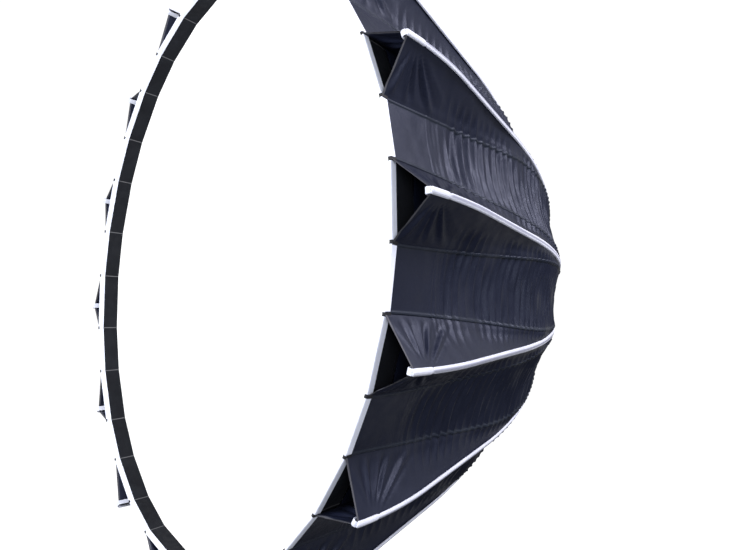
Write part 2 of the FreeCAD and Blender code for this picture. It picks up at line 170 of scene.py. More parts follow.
RIPPLE_SHIFT = Waves(9, 18, 14.0)
RIPPLE_SIZE = Waves(11, 34, 40.0)
CREASES = Waves(16, 70, 150.0)
SOFT_FOLDS = Waves(10, 40, 34.0)
CREASE_SIZE = Waves(8, 30, 20.0)
RIPPLE_PITCHES = (0.033, 0.025)  # at the rim and at the hub
RIPPLE_HEIGHT = 0.0050
RIPPLE_START = 0.12
RIPPLE_DRIFT = 1.1
CRUMPLE_PITCH = 0.017
CRUMPLE_HEIGHT = 0.0015
CRUMPLE_PLACE = 0.146  # just behind the cross seam
CRUMPLE_REACH = 0.022
FAN_PLACE = 0.040  # under the end of the tip pocket
FAN_HEIGHT = 0.0028
VALLEY_SAG = 0.009
TENT_SAG = 0.004
CROSS_SEAM = CANOPY_BANDS[1][1]  # where the front band ends


def ripple(s, angle):
    """Folds that run round the canopy from seam to seam, and a crumpled band behind the cross seam."""
    pitch = RIPPLE_PITCHES[0] + (RIPPLE_PITCHES[1] - RIPPLE_PITCHES[0]) * s / RIB_LENGTH
    phase = 2 * math.pi * s / pitch + RIPPLE_DRIFT * RIPPLE_SHIFT.at(angle, s)
    wave = 1.9 * (0.5 + 0.5 * np.sin(phase)) ** 4 + 0.2 * np.sin(2 * phase + 0.8) - 1.0
    size = RIPPLE_HEIGHT * np.clip(0.9 + 0.45 * RIPPLE_SIZE.at(angle, s), 0.2, 1.45)
    fold = wave * size * smooth(RIPPLE_START, RIPPLE_START + 0.10, s) * (1 - 0.68 * smooth(0.60, 1.00, s))
    crumple = np.sin(2 * math.pi * s / CRUMPLE_PITCH + 3.0 * RIPPLE_SHIFT.at(angle, s))
    crumple = CRUMPLE_HEIGHT * crumple * CREASE_SIZE.at(angle, s)
    return fold + crumple * np.exp(-(((s - CRUMPLE_PLACE) / CRUMPLE_REACH) ** 2))


def fan(s, across, side):
    """Tension folds that spread from under the tip pocket down a tent's side."""
    from_s = s - FAN_PLACE - 0.006 * side
    reach = np.hypot(from_s, across)
    turn = np.arctan2(across, from_s)
    folds = np.sin(turn * 19.0 + 1.7 * side) + 0.5 * np.sin(turn * 31.0 + 0.6)
    where = smooth(0.022, 0.06, reach) * (1 - smooth(0.11, 0.22, reach))
    return FAN_HEIGHT * folds * where * smooth(0.35, 0.7, turn) * (1 - smooth(1.8, 2.2, turn))


# --- The canopy's outer face ---
ROW_STEP = 0.0036
FRONT_ROWS = [0.0, 0.0008, 0.0020, 0.0034, 0.0044, 0.0060, 0.0090]
BAND_EDGES = [start for name, start, end, keep in CANOPY_BANDS]
MIDDLE_ROWS = np.arange(0.013, RIB_LENGTH - 0.008, ROW_STEP)
REAR_ROWS = RIB_LENGTH - np.array([0.006, 0.0044, 0.0030, 0.0015, 0.0])
ROWS = np.unique(np.round(np.concatenate([FRONT_ROWS, MIDDLE_ROWS, BAND_EDGES, REAR_ROWS]), 5))
TENT_COLUMNS = np.linspace(0, 1, 19)
WELT_COLUMNS = np.array([0.8, 1.6, 2.6, 3.8, 5.0, 5.8, 6.5, 7.4, 9.5]) * MM
VALLEY_COLUMNS = np.linspace(0, 1, 8)[1:]
WELT_HEIGHT = 0.0021
HEM_HEIGHT = 0.0009
HEM_DEPTH = 0.004
START_BLEND = 0.06


def started(rows, share):
    """Distances along the rib line, when only the rib's own column starts at the tip."""
    return rows + RIM_START * share * np.clip(1 - rows / START_BLEND, 0, 1)


def tent_side(rows, columns, side, index):
    """One side of a tent, from the rib to the seam: radial, axial and cross positions."""
    s = started(rows[:, None], columns[None, :])
    radius, depth, heading = rib_at(s)
    t = columns[None, :]
    drop = tent_drop(depth)
    half = tent_half_width(depth)
    slant = np.hypot(drop, half)
    angle = rib_angle(index) + side * np.arctan2(half * t, radius - drop * t)
    at_seam = smooth(0.78, 1.0, t)
    lift = fan(s, t * slant, side) * np.sqrt(np.clip(np.sin(math.pi * t), 0, 1))
    lift = lift - TENT_SAG * 4 * t * (1 - t) * smooth(0.0, 0.08, s) * smooth(0.0, 0.03, drop)
    lift = lift + 0.0010 * SOFT_FOLDS.at(angle, s) * smooth(0.0, 0.3, t) * smooth(0.02, 0.12, s)
    lift = lift + 0.00035 * CREASES.at(angle, s) * smooth(0.0, 0.2, t) * smooth(0.02, 0.1, s)
    lift = lift + 0.5 * ripple(s, angle) * smooth(0.35, 0.8, t)
    lift = lift * (1 - at_seam) + HEM_HEIGHT * (1 - smooth(0.0034, 0.0044, rows[:, None]))
    outward = 0.5 * ripple(s, angle) * at_seam + lift * half / slant
    x = radius - drop * t + outward * np.cos(heading)
    y = RIM_Y + depth + outward * np.sin(heading)
    return x, y, side * (half * t + lift * drop / slant)


def valley_middle(low, half):
    """Radial and cross place of a valley's middle, from those of its seam."""
    reach = low * math.cos(MID_VALLEY) + half * math.sin(MID_VALLEY)
    return reach * math.cos(MID_VALLEY), reach * math.sin(MID_VALLEY)


def valley_sag(t, s):
    """How far a valley's cloth hangs inwards, where t runs from the seam to the middle."""
    return VALLEY_SAG * (1 - (1 - t) ** 2) * smooth(0.0, 0.25, s) * (1 - smooth(0.95, 1.2, s))


def valley_side(rows, side, index):
    """Half a valley, from the seam to its middle."""
    s = started(rows[:, None], 1.0)
    radius, depth, heading = rib_at(s)
    low = radius - tent_drop(depth)
    half = tent_half_width(depth)
    middle_x, middle_z = valley_middle(low, half)
    width = np.hypot(middle_x - low, middle_z - half)
    narrow = np.minimum(1.0, width / 0.022)
    near = WELT_COLUMNS[None, :] * narrow
    far = near[:, -1:] + (width - near[:, -1:]) * VALLEY_COLUMNS[None, :]
    from_seam = np.concatenate([near, far], axis=1)
    t = from_seam / width
    x = low + (middle_x - low) * t
    z = half + (middle_z - half) * t
    angle = rib_angle(index) + side * np.arctan2(z, x)
    on_welt = smooth(0.0, 1.6, from_seam / narrow / MM) * (1 - smooth(5.0, 7.4, from_seam / narrow / MM))
    lift = ripple(s, angle) * (0.5 + 0.5 * smooth(0.0, 0.25, t)) - valley_sag(t, s)
    lift = lift + WELT_HEIGHT * narrow * on_welt
    lift = lift + 0.0005 * CREASES.at(angle, s) * smooth(0.02, 0.1, s) * smooth(0.0, 0.1, t)
    lift = lift + 0.0010 * np.exp(-(((s - CROSS_SEAM - 0.004) / 0.0025) ** 2))
    lift = lift + HEM_HEIGHT * smooth(RIB_LENGTH - 0.006, RIB_LENGTH - 0.0044, rows[:, None])
    x = x + lift * np.cos(heading)
    y = RIM_Y + depth + lift * np.sin(heading)
    return x, y, side * z


def canopy_grid(index):
    """A sector's outer face, from the middle of one valley to the next, with its attributes."""
    halves = []
    for side in (-1, 1):
        tent = np.stack(tent_side(ROWS, TENT_COLUMNS, side, index), axis=-1)
        valley = np.stack(valley_side(ROWS, side, index), axis=-1)
        halves.append(np.concatenate([tent, valley], axis=1))
    points = np.concatenate([halves[0][:, :0:-1], halves[1]], axis=1)
    from_rib = np.abs(np.arange(points.shape[1]) - (points.shape[1] - 1) // 2)
    in_tent = from_rib < len(TENT_COLUMNS)
    on_welt = ~in_tent & (from_rib < len(TENT_COLUMNS) + len(WELT_COLUMNS) - 1)
    hem = (ROWS < HEM_DEPTH)[:, None] * in_tent[None, :]
    seam = np.ones(len(ROWS))[:, None] * on_welt[None, :]
    return points, {"hem": hem.astype(float), "seam": seam}


# --- Meshes ---
def grid_faces(rows, columns, wrap=False):
    """Quads over a grid of points, facing rows' direction crossed with columns' direction."""
    r, c = np.meshgrid(np.arange(rows - 1), np.arange(columns if wrap else columns - 1), indexing="ij")
    next_c = (c + 1) % columns
    corners = [r * columns + c, (r + 1) * columns + c, (r + 1) * columns + next_c, r * columns + next_c]
    return np.stack(corners, axis=-1).reshape(-1, 4)


def grid_normals(points):
    """Unit normals of a grid of points, on the side that grid_faces faces."""
    normals = np.cross(np.gradient(points, axis=0), np.gradient(points, axis=1))
    return normals / np.maximum(np.linalg.norm(normals, axis=-1, keepdims=True), 1e-12)


def new_object(name, vertices, faces, materials, face_materials=None, attributes=None, normals=None):
    mesh = bpy.data.meshes.new(name)
    corners = [[int(i) for i in face] for face in faces]
    mesh.from_pydata(np.asarray(vertices, float).reshape(-1, 3).tolist(), [], corners)
    for material in materials:
        mesh.materials.append(material)
    if face_materials is not None:
        mesh.polygons.foreach_set("material_index", np.asarray(face_materials, np.int32))
    for key, values in (attributes or {}).items():
        layer = mesh.attributes.new(key, "FLOAT", "POINT")
        layer.data.foreach_set("value", np.asarray(values, np.float32).ravel())
    mesh.shade_smooth()
    mesh.update()
    if normals is None:
        turned_outwards(mesh)
        mesh.set_sharp_from_angle(angle=math.radians(50))
    else:
        mesh.normals_split_custom_set_from_vertices(np.asarray(normals).reshape(-1, 3).tolist())
    made = bpy.data.objects.new(name, mesh)
    bpy.context.scene.collection.objects.link(made)
    return made


def turned_outwards(mesh):
    """Makes a closed mesh's faces look outwards."""
    bm = bmesh.new()
    bm.from_mesh(mesh)
    bmesh.ops.recalc_face_normals(bm, faces=bm.faces)
    bm.to_mesh(mesh)
    bm.free()


def border(rows, columns):
    """Grid points round the edge, in the order that faces the edge's wall outwards."""
    ids = np.arange(rows * columns).reshape(rows, columns)
    return np.concatenate([ids[0, :], ids[1:, -1], ids[-1, -2::-1], ids[-2:0:-1, 0]])


def sheet_object(name, outer, normals, thickness, materials, attributes=None):
    """Cloth as a closed thin sheet. Its inner face takes the last of the materials."""
    rows, columns = outer.shape[:2]
    count = rows * columns
    edge = border(rows, columns)
    following = np.roll(edge, -1)
    walls = np.stack([edge, following, following + count, edge + count], axis=-1)
    faces = grid_faces(rows, columns)
    everything = np.concatenate([faces, faces[:, ::-1] + count, walls])
    face_materials = np.repeat([0, len(materials) - 1, 0], [len(faces), len(faces), len(walls)])
    vertices = np.concatenate([outer.reshape(-1, 3), (outer - normals * thickness).reshape(-1, 3)])
    doubled = {key: np.tile(np.ravel(values), 2) for key, values in (attributes or {}).items()}
    both = np.concatenate([normals.reshape(-1, 3), -normals.reshape(-1, 3)])
    return new_object(name, vertices, everything, materials, face_materials, doubled, both)


def tube_part(rings):
    """Vertices and faces of a closed tube through rings of points, with flat ends."""
    rows, columns = rings.shape[:2]
    faces = grid_faces(rows, columns, wrap=True).tolist()
    faces.append(list(range(columns)))
    faces.append(list(range(rows * columns - 1, (rows - 1) * columns - 1, -1)))
    return rings.reshape(-1, 3), faces


def joined_object(name, parts, materials, attributes=None):
    """One object from several tubes, each (vertices, faces, material index)."""
    vertices, faces, face_materials, passed = [], [], [], 0
    for part_vertices, part_faces, material_index in parts:
        vertices.append(part_vertices)
        faces += [[i + passed for i in face] for face in part_faces]
        face_materials += [material_index] * len(part_faces)
        passed += len(part_vertices)
    return new_object(name, np.concatenate(vertices), faces, materials, face_materials, attributes)


# --- Materials ---
class Finish:
    """A Principled material, and short names for the nodes that drive it."""

    def __init__(self, name, **sockets):
        self.material = bpy.data.materials.new(name)
        self.material.use_nodes = True
        self.tree = self.material.node_tree
        self.shader = self.tree.nodes["Principled BSDF"]
        for key, value in sockets.items():
            self.drive(key.replace("_", " "), value)

    def put(self, socket, value):
        if isinstance(value, bpy.types.NodeSocket):
            self.tree.links.new(value, socket)
        elif socket.type == "RGBA":
            socket.default_value = (*value, 1)
        else:
            socket.default_value = value

    def drive(self, key, value):
        self.put(self.shader.inputs[key], value)

    def node(self, kind, inputs, **settings):
        made = self.tree.nodes.new(kind)
        for key, value in settings.items():
            setattr(made, key, value)
        for key, value in inputs.items():
            self.put(made.inputs[key], value)
        return made

    def math(self, operation, a, b=0.0):
        return self.node("ShaderNodeMath", {0: a, 1: b}, operation=operation).outputs[0]

    def attribute(self, name):
        return self.node("ShaderNodeAttribute", {}, attribute_name=name).outputs["Fac"]

    def place(self):
        return self.node("ShaderNodeTexCoord", {}).outputs["Object"]

    def noise(self, scale, detail=3.0, stretch=(1, 1, 1)):
        mapping = self.node("ShaderNodeMapping", {"Vector": self.place(), "Scale": stretch})
        inputs = {"Vector": mapping.outputs[0], "Scale": scale, "Detail": detail}
        return self.node("ShaderNodeTexNoise", inputs).outputs["Fac"]

    def ranged(self, value, low, high, to_low=0.0, to_high=1.0):
        inputs = {"Value": value, "From Min": low, "From Max": high, "To Min": to_low, "To Max": to_high}
        return self.node("ShaderNodeMapRange", inputs, interpolation_type="SMOOTHSTEP").outputs[0]

    def mixed(self, share, a, b):
        return self.node("ShaderNodeMix", {0: share, 6: a, 7: b}, data_type="RGBA").outputs[2]

    def patches(self, scale, low=0.0, high=1.0, detail=3.0, stretch=(1, 1, 1)):
        """Soft patches of noise, spread from low to high."""
        return self.ranged(self.noise(scale, detail, stretch), 0.3, 0.7, low, high)

    def mottled(self, scale, a, b, detail=3.0, stretch=(1, 1, 1)):
        """A colour that wanders between a and b in soft patches."""
        return self.mixed(self.patches(scale, detail=detail, stretch=stretch), a, b)

    def weave(self, along, across, pitch):
        """Plain weave: a thread over and under every pitch, from -1 to 1."""
        rate = 2 * math.pi / pitch
        warp = self.math("SINE", self.math("MULTIPLY", along, rate))
        weft = self.math("SINE", self.math("MULTIPLY", across, rate))
        return self.math("MULTIPLY", warp, weft)

    def bump(self, height, distance, strength=1.0, before=None):
        inputs = {"Height": height, "Distance": distance, "Strength": strength}
        if before is not None:
            inputs["Normal"] = before
        return self.node("ShaderNodeBump", inputs).outputs[0]

    def round_axis(self):
        """Distance along the light axis, and distance round it on a 0.6 m radius."""
        parts = self.node("ShaderNodeSeparateXYZ", {0: self.place()})
        turn = self.math("ARCTAN2", parts.outputs["Z"], parts.outputs["X"])
        return parts.outputs["Y"], self.math("MULTIPLY", turn, 0.6)


def canopy_cloth():
    """Black coated cloth: fine weave, a bluish cast, a greyer hem at the tent mouths, and a painted highlight
    along each welt.
    """
    f = Finish("canopy_cloth")
    base = f.mottled(5.0, (0.0048, 0.0064, 0.0160), (0.0074, 0.0094, 0.0210))
    # Painted highlight: the welt strip is lightened to stand for light catching its raised top.
    base = f.mixed(f.math("MULTIPLY", f.attribute("seam"), 0.35), base, (0.013, 0.018, 0.022))
    base = f.mixed(f.math("MULTIPLY", f.attribute("hem"), 0.75), base, (0.09, 0.09, 0.10))
    f.drive("Base Color", base)
    f.drive("Specular IOR Level", 0.31)
    f.drive("Specular Tint", (0.68, 0.74, 1.0))
    f.drive("Roughness", f.patches(40.0, 0.40, 0.52))
    along, across = f.round_axis()
    creases = f.bump(f.noise(55.0, 4.0), 0.0006, 0.5)
    f.drive("Normal", f.bump(f.weave(along, across, 0.0011), 0.00008, 0.6, creases))
    return f.material


def silver_lining():
    """Pebbled silver coating of the canopy's inside."""
    f = Finish("silver_lining", Metallic=0.85)
    f.drive("Base Color", f.mottled(30.0, (0.62, 0.63, 0.65), (0.74, 0.75, 0.77)))
    f.drive("Roughness", f.patches(120.0, 0.28, 0.42))
    pebbles = f.node("ShaderNodeTexVoronoi", {"Vector": f.place(), "Scale": 320.0}).outputs["Distance"]
    f.drive("Normal", f.bump(pebbles, 0.0004, 0.6))
    return f.material


def lip_cloth():
    """Black cloth of the lip, with a pale line of stitching at each corner."""
    f = Finish("lip_cloth")
    base = f.mottled(14.0, (0.0060, 0.0066, 0.0090), (0.0090, 0.0100, 0.0130))
    line = f.ranged(f.attribute("from_corner"), 0.0007, 0.0016, 1.0, 0.0)
    f.drive("Base Color", f.mixed(f.math("MULTIPLY", line, 0.6), base, (0.16, 0.16, 0.17)))
    f.drive("Specular IOR Level", 0.1)
    f.drive("Roughness", f.patches(60.0, 0.6, 0.8))
    along, across = f.round_axis()
    f.drive("Normal", f.bump(f.weave(along, across, 0.0013), 0.0001, 0.7))
    return f.material


def white_tape():
    """Grosgrain tape: fine ribs across it, and a little shade from handling."""
    f = Finish("white_tape", Roughness=0.72)
    shade = f.ranged(f.noise(18.0, 4.0), 0.35, 0.7)
    f.drive("Base Color", f.mixed(shade, (0.73, 0.76, 0.88), (0.67, 0.70, 0.82)))
    f.drive("Specular IOR Level", 0.2)
    along, across = f.round_axis()
    ribs = f.math("SINE", f.math("MULTIPLY", across, 2 * math.pi / 0.0012))
    threads = f.math("SINE", f.math("MULTIPLY", along, 2 * math.pi / 0.0007))
    f.drive("Normal", f.bump(f.math("ADD", ribs, f.math("MULTIPLY", threads, 0.3)), 0.00012, 0.7))
    return f.material


def black_tape():
    """Black binding tape of the corner tabs and rod sleeves."""
    f = Finish("black_tape", Roughness=0.7)
    f.drive("Base Color", f.mottled(90.0, (0.010, 0.010, 0.013), (0.018, 0.018, 0.022)))
    f.drive("Specular IOR Level", 0.25)
    along, across = f.round_axis()
    f.drive("Normal", f.bump(f.weave(along, across, 0.0012), 0.00012, 0.7))
    return f.material


def white_webbing():
    """White rib webbing: two pale strands with a grey one between, and coarse cross threads."""
    f = Finish("white_webbing", Roughness=0.68, Specular_IOR_Level=0.2)
    across = f.attribute("across")
    along = f.attribute("along")
    middle = f.ranged(f.math("ABSOLUTE", across), 0.16, 0.30, 1.0, 0.0)
    strand = f.math("MULTIPLY", middle, f.ranged(along, 0.050, 0.066))
    base = f.mottled(25.0, (0.62, 0.64, 0.74), (0.54, 0.56, 0.67), detail=4.0)
    f.drive("Base Color", f.mixed(f.math("MULTIPLY", strand, 0.8), base, (0.20, 0.21, 0.28)))
    threads = f.math("SINE", f.math("MULTIPLY", along, 2 * math.pi / 0.0016))
    strands = f.math("SINE", f.math("MULTIPLY", across, 22.0))
    f.drive("Normal", f.bump(f.math("ADD", threads, f.math("MULTIPLY", strands, 0.6)), 0.00018, 0.8))
    return f.material


def diffusion_cloth():
    """White diffusion cloth: a tight weave with faint unevenness, and a stitched hem."""
    f = Finish("diffusion_cloth", Roughness=0.85, Sheen_Weight=0.1)
    base = f.mottled(9.0, (0.935, 0.935, 0.935), (0.915, 0.915, 0.920))
    f.drive("Base Color", f.mixed(f.math("MULTIPLY", f.attribute("stitch"), 0.35), base, (0.70, 0.70, 0.71)))
    parts = f.node("ShaderNodeSeparateXYZ", {0: f.place()})
    f.drive("Normal", f.bump(f.weave(parts.outputs["X"], parts.outputs["Z"], 0.0010), 0.00006, 0.5))
    return f.material


def loop_pile():
    """Black loop pile of the diffuser's strip."""
    f = Finish("loop_pile", Roughness=0.95, Sheen_Weight=0.5, Sheen_Roughness=0.4)
    f.drive("Base Color", f.mottled(900.0, (0.012, 0.012, 0.013), (0.05, 0.05, 0.052)))
    f.drive("Normal", f.bump(f.noise(1400.0, 2.0), 0.0006, 0.9))
    return f.material


def worn_metal(name, dark, light, roughness, metallic=1.0, grain=(1, 1, 1), scale=40.0):
    """Metal whose tone and gloss vary along its grain."""
    f = Finish(name, Metallic=metallic)
    f.drive("Base Color", f.mottled(scale, dark, light, 5.0, grain))
    f.drive("Roughness", f.patches(scale * 3, roughness - 0.07, roughness + 0.07, 4.0, grain))
    f.drive("Normal", f.bump(f.noise(scale * 20, 3.0, grain), 0.00005, 0.5))
    return f.material


def moulded_plastic(name, dark, light, roughness):
    """Plastic with a fine spark-eroded grain."""
    f = Finish(name)
    f.drive("Base Color", f.mottled(60.0, dark, light))
    f.drive("Roughness", f.patches(300.0, roughness - 0.06, roughness + 0.06))
    f.drive("Normal", f.bump(f.noise(2500.0, 2.0), 0.00008, 0.6))
    return f.material


CANOPY_CLOTH = canopy_cloth()
SILVER_LINING = silver_lining()
LIP_CLOTH = lip_cloth()
WHITE_TAPE = white_tape()
BLACK_TAPE = black_tape()
WHITE_WEBBING = white_webbing()
DIFFUSION_CLOTH = diffusion_cloth()
LOOP_PILE = loop_pile()

TURNED = (1.0, 12.0, 1.0)
NODE_MATERIALS = {
    "rod": moulded_plastic("rod_fibre", (0.055, 0.055, 0.058), (0.11, 0.11, 0.115), 0.32),
    "knuckle": worn_metal("knuckle_metal", (0.42, 0.43, 0.45), (0.60, 0.61, 0.63), 0.42, scale=60.0),
    "speedring_body": worn_metal("ring_black", (0.018, 0.018, 0.020), (0.035, 0.035, 0.038), 0.38, 0.6),
    "cover_ring": worn_metal("cover_black", (0.020, 0.020, 0.022), (0.040, 0.040, 0.043), 0.36, 0.6),
    "bayonet_insert": worn_metal("bare_steel", (0.50, 0.50, 0.51), (0.66, 0.66, 0.67), 0.30, grain=TURNED),
    "retainer_ring": worn_metal("retainer_steel", (0.46, 0.46, 0.47), (0.62, 0.62, 0.63), 0.32, grain=TURNED),
    "screw": worn_metal("screw_steel", (0.44, 0.44, 0.43), (0.62, 0.62, 0.60), 0.28, scale=200.0),
    "runner_ring": moulded_plastic("runner_plastic", (0.33, 0.035, 0.025), (0.42, 0.05, 0.035), 0.45),
    "clamp_knob": moulded_plastic("knob_plastic", (0.020, 0.020, 0.021), (0.035, 0.035, 0.037), 0.5),
}
SCREWS = ("retainer_screws", "cover_screws", "hinge_pins", "clamp_screw")


def dress_cad_nodes():
    """Gives each carried-over CAD node its finish."""
    for name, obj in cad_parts.items():
        kind = "screw" if name in SCREWS else name if name in NODE_MATERIALS else name.split("_")[0]
        if kind in NODE_MATERIALS:
            for material_slot in obj.material_slots:
                material_slot.material = NODE_MATERIALS[kind]


# --- Pieces ---
def ribbed(obj, index, keep=None):
    """Joins a piece to its rib, so that it rides on the rib's body; a piece given a keep gets a mesh of its
    own.
    """
    number = f"{index + 1:02d}"
    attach(obj, "rib_" + number)
    if keep is not None:
        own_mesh(obj)
    return obj


def band_rows(rows, start, end):
    """The slice of rows from start to end, both included."""
    first = int(np.argmin(np.abs(rows - start)))
    last = len(rows) - 1 if end is None else int(np.argmin(np.abs(rows - end)))
    return slice(first, last + 1)


CLOTH_THICKNESS = 0.0008


def canopy(index):
    """One rib's share of the canopy, cut into bands."""
    number = f"{index + 1:02d}"
    points, attributes = canopy_grid(index)
    points = placed(points, index)
    normals = grid_normals(points)
    for name, start, end, keep in CANOPY_BANDS:
        part = band_rows(ROWS, start, end)
        values = {key: value[part] for key, value in attributes.items()}
        title = f"canopy_{name}_{number}"
        piece = sheet_object(title, points[part], normals[part], CLOTH_THICKNESS, [CANOPY_CLOTH], values)
        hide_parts("fabric_panel_" + number)
        ribbed(piece, index, keep)


LINING_SPAN = (0.0575, 1.15)
LINING_EDGES = [start for name, start, end, keep in LINING_BANDS[1:]]
LINING_ROWS = np.unique(np.round(np.concatenate([np.arange(*LINING_SPAN, 0.009), LINING_EDGES]), 5))
LINING_INSET = 0.004
LINING_UNDER_ROD = 0.010
LINING_THICKNESS = 0.0007
LINING_EASE = 0.0015


def lining_grid(index):
    """The lining's outer face: a floor under the tent, and close behind the canopy in the valleys."""
    s = LINING_ROWS[:, None]
    radius, depth, heading = rib_at(s)
    radius = radius - LINING_INSET * np.cos(heading)
    depth = depth - LINING_INSET * np.sin(heading)
    half = tent_half_width(depth)
    low = radius - tent_drop(depth)
    floor_x = np.minimum(low, radius - LINING_UNDER_ROD / np.cos(heading))
    middle_x, middle_z = valley_middle(low, half)
    floor = np.linspace(0, 1, 9)[None, :]
    wall = np.linspace(0, 1, 12)[None, 1:]
    halves = []
    for side in (-1, 1):
        x = floor_x + 0 * floor
        z = half * floor
        angle = rib_angle(index) + side * np.arctan2(z, x)
        lift = 0.0009 * SOFT_FOLDS.at(angle, s) - LINING_EASE
        under = np.stack([x + lift, RIM_Y + depth + 0 * z, side * z], axis=-1)
        x = floor_x + (middle_x - floor_x) * wall
        z = half + (middle_z - half) * wall
        angle = rib_angle(index) + side * np.arctan2(z, x)
        lift = 0.6 * ripple(s, angle) * smooth(0.0, 0.2, wall) - valley_sag(wall, s) - LINING_EASE
        y = RIM_Y + depth + lift * np.sin(heading)
        valley = np.stack([x + lift * np.cos(heading), y, side * z], axis=-1)
        halves.append(np.concatenate([under, valley], axis=1))
    return np.concatenate([halves[0][:, :0:-1], halves[1]], axis=1)


def lining(index):
    """The silver lining behind one rib's share of the canopy. Its outer side is black."""
    number = f"{index + 1:02d}"
    points = placed(lining_grid(index), index)
    normals = grid_normals(points)
    for name, start, end, keep in LINING_BANDS:
        part = band_rows(LINING_ROWS, start, end)
        materials = [CANOPY_CLOTH, SILVER_LINING]
        title = f"lining_{name}_{number}"
        piece = sheet_object(title, points[part], normals[part], LINING_THICKNESS, materials)
        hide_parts("fabric_panel_" + number)
        ribbed(piece, index, keep)


# --- The many-sided rim: lip, tape and corner tabs ---
MIDDLE_SHARES = [0.0, 0.35, 0.7, 0.9]
TENT_SHARES = [0.04, 0.12, 0.3, 0.5, 0.7, 0.88, 0.96]


def rim_places():
    """Places across one sector: (segment from, segment to, share), with a place at each corner."""
    places = [(0, 1, share) for share in MIDDLE_SHARES]
    places += [(1, 2, share) for share in [0.0] + TENT_SHARES]
    places += [(2, 3, 0.0)] + [(2, 3, 1 - share) for share in MIDDLE_SHARES[::-1]]
    return places


def sector_corners(corner_radius):
    """Radial and cross places of a sector's four corners, where the first and last are mid-valley."""
    x, z = corner_radius * math.cos(CORNER_ANGLE), corner_radius * math.sin(CORNER_ANGLE)
    reach = corner_radius * math.cos(MID_VALLEY - CORNER_ANGLE)
    middle_x, middle_z = reach * math.cos(MID_VALLEY), reach * math.sin(MID_VALLEY)
    return [(middle_x, -middle_z), (x, -z), (x, z), (middle_x, middle_z)]


def rim_line(corner_radius, depth):
    """Points across one sector of the rim, and how far each is from its nearest corner."""
    corners = sector_corners(corner_radius)
    points, from_corner = [], []
    for first, last, share in rim_places():
        x = corners[first][0] * (1 - share) + corners[last][0] * share
        z = corners[first][1] * (1 - share) + corners[last][1] * share
        points.append((x, RIM_Y + depth, z))
        from_corner.append(min(math.hypot(x - corners[i][0], z - corners[i][1]) for i in (1, 2)))
    return points, from_corner


LIP_ROWS = np.concatenate([[0.001, 0.006], np.linspace(0.012, LIP_DEPTH - 0.006, 9), [0.069, LIP_DEPTH]])


def lip(index):
    """The set-back black band inside the rim."""
    number = f"{index + 1:02d}"
    lines = [rim_line(LIP_RIM_RADIUS - LIP_SLOPE * depth, depth) for depth in LIP_ROWS]
    points = placed(np.array([points for points, from_corner in lines]), index)
    from_corner = np.array([from_corner for points, from_corner in lines])
    angle = np.arctan2(points[..., 2], points[..., 0])
    depth = LIP_ROWS[:, None]
    wave = 0.0006 * SOFT_FOLDS.at(angle, depth * 3) * smooth(0.0, 0.02, depth) - 0.0004
    points = points + grid_normals(points) * wave[..., None]
    attributes = {"from_corner": from_corner}
    piece = sheet_object("lip_" + number, points, grid_normals(points), 0.001, [LIP_CLOTH], attributes)
    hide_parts("fabric_panel_" + number)
    ribbed(piece, index, RIM_KEEP)


TAPE_OUTER_RADIUS = 0.7492
TAPE_OUTER_SLOPE = 0.29
TAPE_INNER_RADIUS = 0.7428
TAPE_WIDTH = 0.014
TAPE_INNER_WIDTH = 0.010
TAPE_THICKNESS = 0.0009
TAPE_TURN_DEPTH = 0.0010


def line_normals(line):
    """Unit normals of a flat line of points, on the left of its direction."""
    direction = np.gradient(line, axis=0)
    direction /= np.linalg.norm(direction, axis=1, keepdims=True)
    return np.stack([-direction[:, 1], direction[:, 0]], axis=1)


def tape_profile(grow, width, both_legs=True):
    """A U over the rim's edge, or its outer half, as a closed outline of (corner radius, depth)."""
    legs = np.linspace(width, TAPE_TURN_DEPTH, 4)
    middle = (TAPE_OUTER_RADIUS + TAPE_INNER_RADIUS) / 2
    reach = (TAPE_OUTER_RADIUS - TAPE_INNER_RADIUS) / 2
    line = [(TAPE_OUTER_RADIUS - TAPE_OUTER_SLOPE * d, d) for d in legs]
    for turn in np.linspace(0, math.pi, 7)[1:-1]:
        line.append((middle + reach * math.cos(turn), TAPE_TURN_DEPTH - reach * math.sin(turn)))
    if both_legs:
        line += [(TAPE_INNER_RADIUS - LIP_SLOPE * d, d) for d in legs[::-1] if d <= TAPE_INNER_WIDTH]
    line = np.array(line)
    normal = line_normals(line)
    outer = line + normal * (TAPE_THICKNESS / 2 + grow)
    inner = line - normal * TAPE_THICKNESS / 2
    return np.concatenate([outer, inner[::-1]])


TAB_HALF_WIDTH = 0.0040


def corner_line(corner_radius, depth, corner):
    """Three points across one corner of the rim: before it, on it and after it."""
    corners = np.array(sector_corners(corner_radius))
    line = []
    for other in (corner - 1, corner, corner + 1):
        step = corners[other] - corners[corner]
        length = max(np.linalg.norm(step), MM)
        x, z = corners[corner] + step / length * TAB_HALF_WIDTH
        line.append((x, RIM_Y + depth, z))
    return line


def rim_tape(index):
    """White binding tape over the rim's edge, with a black tab over each corner."""
    number = f"{index + 1:02d}"
    rings = np.array([rim_line(radius, depth)[0] for radius, depth in tape_profile(0.0, TAPE_WIDTH)])
    parts = [(*tube_part(placed(rings.transpose(1, 0, 2), index)), 0)]
    for corner in (1, 2):
        profile = tape_profile(0.0008, TAPE_WIDTH + 0.0015, both_legs=False)
        rings = np.array([corner_line(radius, depth, corner) for radius, depth in profile])
        parts.append((*tube_part(placed(rings.transpose(1, 0, 2), index)), 1))
    piece = joined_object("rim_tape_" + number, parts, [WHITE_TAPE, BLACK_TAPE])
    ribbed(piece, index, RIM_KEEP)
    edge = np.array(rim_line(LIP_RIM_RADIUS, 0.0)[0])


